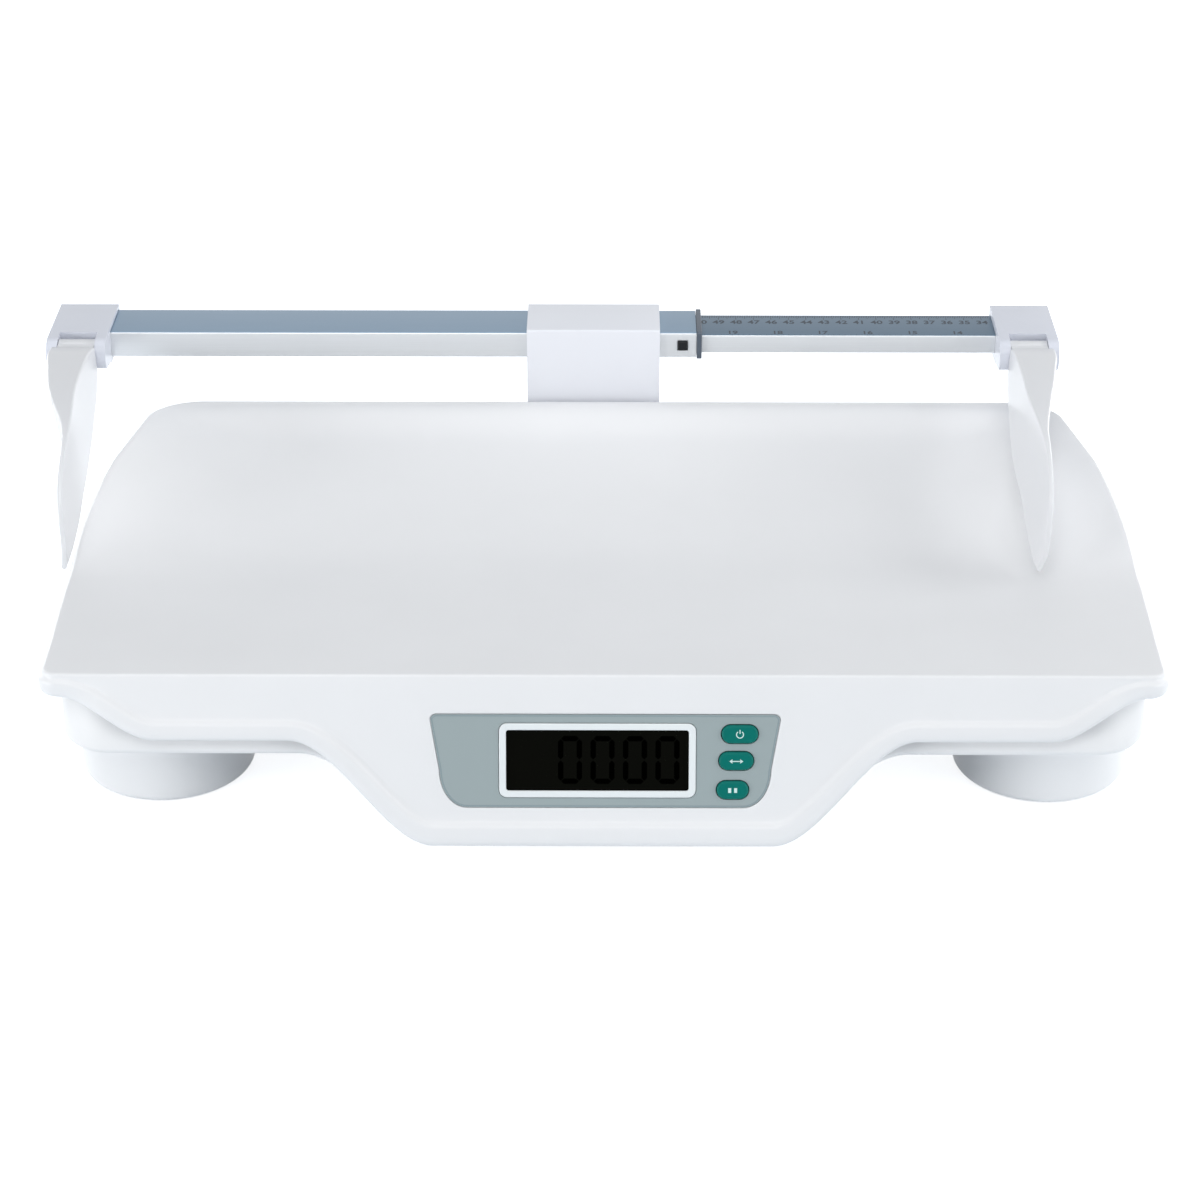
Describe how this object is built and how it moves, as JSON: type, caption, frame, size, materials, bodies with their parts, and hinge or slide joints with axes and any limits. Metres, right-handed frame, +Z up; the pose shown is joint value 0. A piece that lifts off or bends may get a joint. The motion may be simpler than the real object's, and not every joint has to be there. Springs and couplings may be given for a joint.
{
  "type": "digital baby weighing scale with measuring rod",
  "caption": "Baby weighing scale: curved tray, sloping display with keys, pod feet on load cells, and a sliding measuring rod with folding end paddles.",
  "frame": {"origin": "on the surface the scale stands on, under the middle of the whole object's box", "axes": "+X to the reader's right along the measuring rod, +Y to the back, +Z up"},
  "size_m": [0.5946, 0.3512, 0.1531],
  "materials": {
    "white_plastic": "fine-grained white ABS, semi-gloss",
    "base_plastic": "fine-grained cool white ABS, satin",
    "hub_plastic": "cool white ABS, satin",
    "paddle_plastic": "cool white ABS, satin",
    "grey_rubber": "matt grey rubber",
    "load_cell_steel": "brushed",
    "zinc_steel": "zinc plated",
    "silver_panel": "fine silver-grey printed film",
    "white_bezel": "semi-gloss",
    "display_glass": "clear window over a dark liquid crystal display",
    "display_glass_back": "dark display glass",
    "circuit_board": "green board",
    "teal_keys": "satin teal silicone",
    "anodised_tube": "satin anodised",
    "ruler_tube": "satin anodised, with a plain measuring scale",
    "dark_plastic": "satin black",
    "cell_jacket": "plain printed jacket"
  },
  "bodies": {
    "scale_body": {"top_cover": "white_plastic", "base_shell": "base_plastic", "cover_screw_1": "zinc_steel", "cover_screw_2": "zinc_steel", "cover_screw_3": "zinc_steel", "cover_screw_4": "zinc_steel", "foot_front_left": "base_plastic", "load_cell_front_left": "load_cell_steel", "pad_front_left": "grey_rubber", "foot_front_right": "base_plastic", "load_cell_front_right": "load_cell_steel", "pad_front_right": "grey_rubber", "foot_rear_left": "base_plastic", "load_cell_rear_left": "load_cell_steel", "pad_rear_left": "grey_rubber", "foot_rear_right": "base_plastic", "load_cell_rear_right": "load_cell_steel", "pad_rear_right": "grey_rubber", "display_panel": "silver_panel", "display_bezel": "white_bezel", "display_lens": "display_glass", "display_module": "display_glass_back", "main_board": "circuit_board", "outer_tube": "anodised_tube", "end_bush": "dark_plastic", "hub_left": "hub_plastic", "paddle_pin_left": "zinc_steel", "rod_bracket": "hub_plastic", "bracket_screw_1": "zinc_steel", "bracket_screw_2": "zinc_steel", "battery_box": "dark_plastic", "battery_1": "cell_jacket", "battery_2": "cell_jacket", "battery_3": "cell_jacket", "battery_4": "cell_jacket", "adaptor_socket": "dark_plastic"},
    "rod_slide": {"inner_tube": "ruler_tube", "hub_right": "hub_plastic", "paddle_pin_right": "zinc_steel"},
    "left_paddle": {"paddle_left": "paddle_plastic"},
    "right_paddle": {"paddle_right": "paddle_plastic"},
    "top_key": {"key_top": "teal_keys"},
    "middle_key": {"key_middle": "teal_keys"},
    "bottom_key": {"key_bottom": "teal_keys"},
    "rod_lock": {"lock_button": "dark_plastic"},
    "battery_cover": {"battery_door": "base_plastic"}
  },
  "joints": [
    {"name": "top_key_press", "type": "slide", "parent": "scale_body", "child": "top_key", "axis": [0, 0.9455, -0.3256], "range_m": [0, 0.001], "stiffness_N_per_m": 1200, "springref_m": -0.0003},
    {"name": "middle_key_press", "type": "slide", "parent": "scale_body", "child": "middle_key", "axis": [0, 0.9455, -0.3256], "range_m": [0, 0.001], "stiffness_N_per_m": 1200, "springref_m": -0.0003},
    {"name": "bottom_key_press", "type": "slide", "parent": "scale_body", "child": "bottom_key", "axis": [0, 0.9455, -0.3256], "range_m": [0, 0.001], "stiffness_N_per_m": 1200, "springref_m": -0.0003},
    {"name": "rod_lock_press", "type": "slide", "parent": "scale_body", "child": "rod_lock", "axis": [0, 1, 0], "range_m": [0, 0.0009], "stiffness_N_per_m": 1000, "springref_m": -0.0003},
    {"name": "rod_travel", "type": "slide", "parent": "scale_body", "child": "rod_slide", "axis": [1, 0, 0], "range_m": [-0.15, 0.11]},
    {"name": "left_paddle_hinge", "type": "hinge", "parent": "scale_body", "child": "left_paddle", "pos_m": [-0.28082, 0.12553, 0.1427], "axis": [-1, 0, 0], "range_deg": [0, 90]},
    {"name": "right_paddle_hinge", "type": "hinge", "parent": "rod_slide", "child": "right_paddle", "pos_m": [0.25168, 0.12553, 0.1427], "axis": [-1, 0, 0], "range_deg": [0, 90]},
    {"name": "battery_cover_lift", "type": "slide", "parent": "scale_body", "child": "battery_cover", "axis": [0, 0, -1], "range_m": [0, 0.02]}
  ]
}
